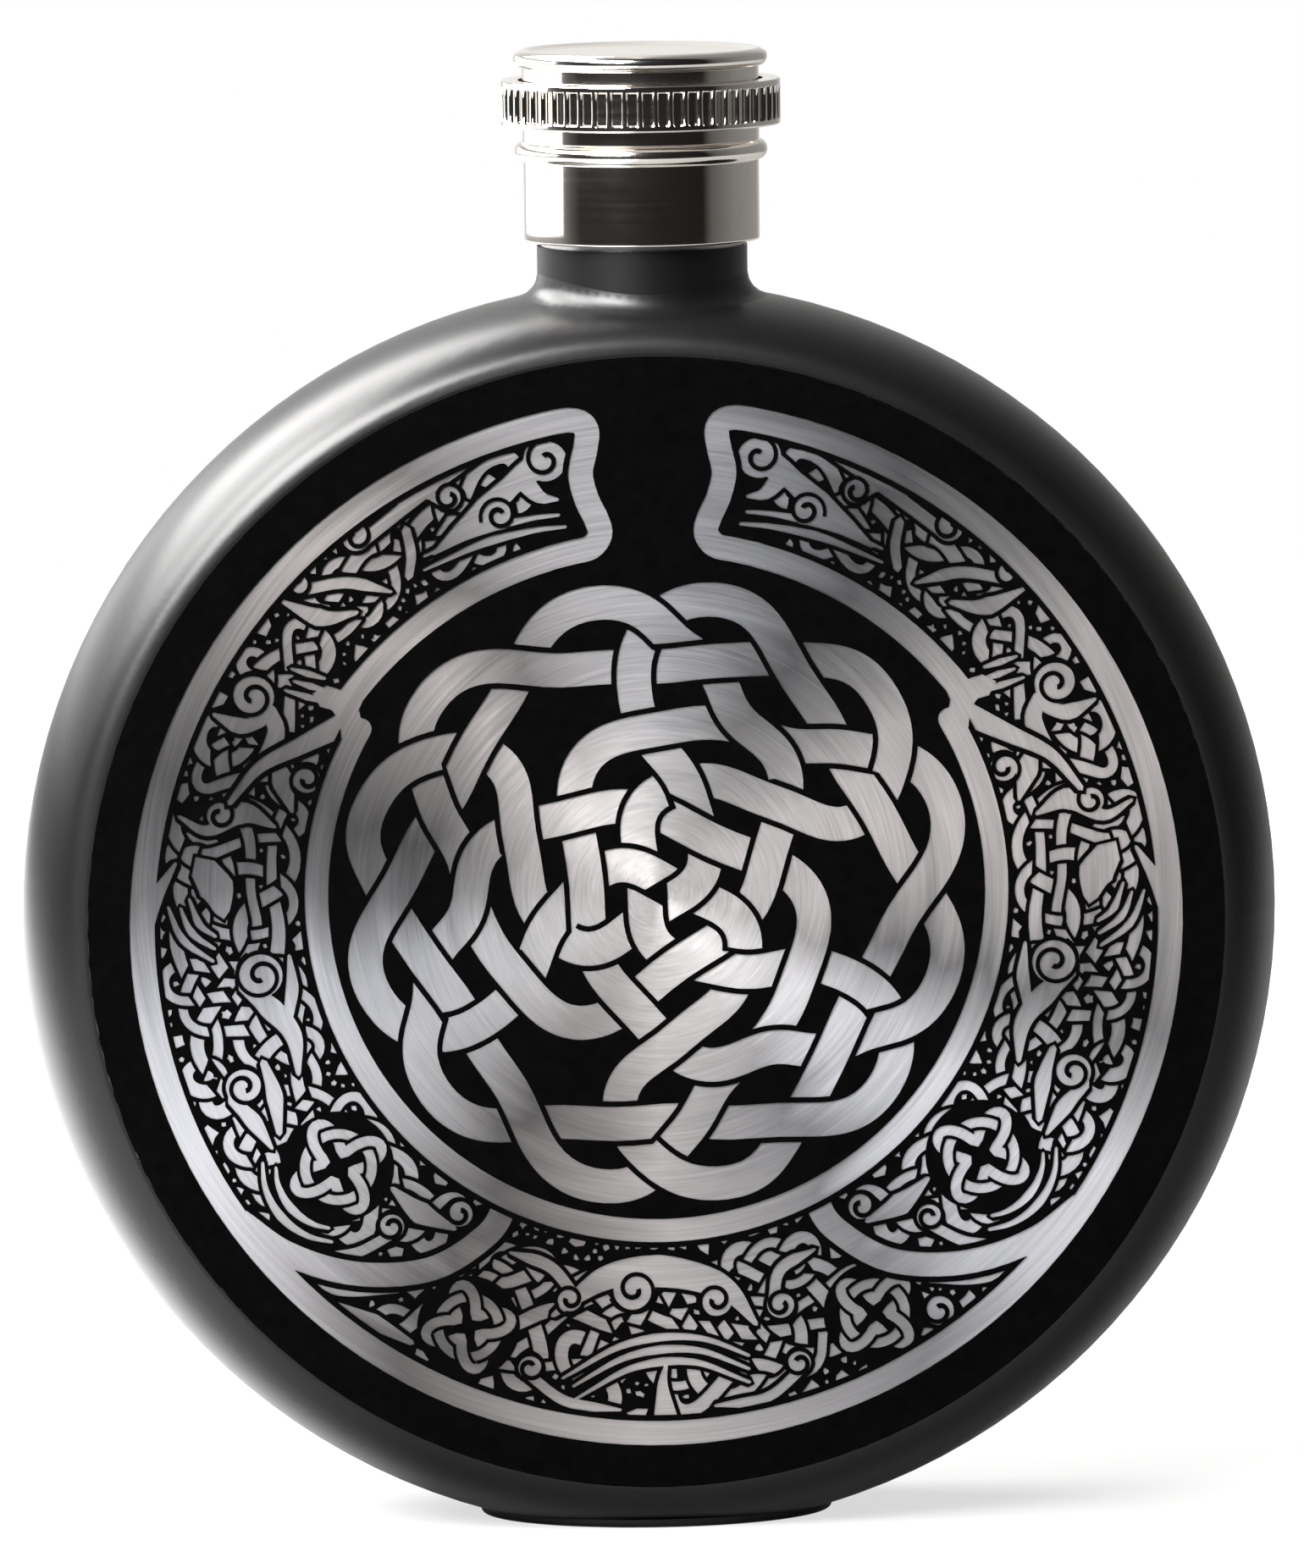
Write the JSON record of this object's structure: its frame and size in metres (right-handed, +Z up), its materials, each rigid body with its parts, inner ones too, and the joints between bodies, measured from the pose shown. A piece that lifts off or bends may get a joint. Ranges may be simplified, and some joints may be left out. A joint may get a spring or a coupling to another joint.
{
  "type": "hip flask",
  "caption": "Round flat pocket flask on an oval base, with an engraved front disc, a short threaded spout and a fluted metal screw cap.",
  "frame": {"origin": "centre of the base plate's underside", "axes": "+Z up through the neck and the cap, -Y the engraved front, +X to the right of someone facing the front"},
  "size_m": [0.1016, 0.023, 0.1191],
  "materials": {
    "matte_coat": "satin black powder coat on drawn steel",
    "engraved_steel": "circular brushed",
    "face_enamel": "deep matte black coat, engraved through",
    "spout_steel": "turned",
    "cap_plating": "polished nickel plate",
    "lining_plastic": "moulded",
    "seal_rubber": "soft silicone"
  },
  "bodies": {
    "flask": {"front_shell": "matte_coat", "back_shell": "matte_coat", "base_plate": "matte_coat", "face_plate": "engraved_steel", "face_coat": "face_enamel", "spout": "spout_steel"},
    "seal": {"cap_seal": "seal_rubber"},
    "cap": {"cap_shell": "cap_plating", "grip_ring": "cap_plating", "thread_insert": "lining_plastic"}
  },
  "joints": [
    {"name": "cap_lift", "type": "slide", "parent": "flask", "child": "seal", "axis": [0, 0, 1], "range_m": [0, 0.024]},
    {"name": "cap_turn", "type": "hinge", "parent": "seal", "child": "cap", "pos_m": [0, 0, 0.11], "axis": [0, 0, 1], "range_deg": [0, 4320]}
  ],
  "couplings": [
    {"joint": "cap_lift", "follows": "cap_turn", "m_per_rad": 0.00031831}
  ]
}
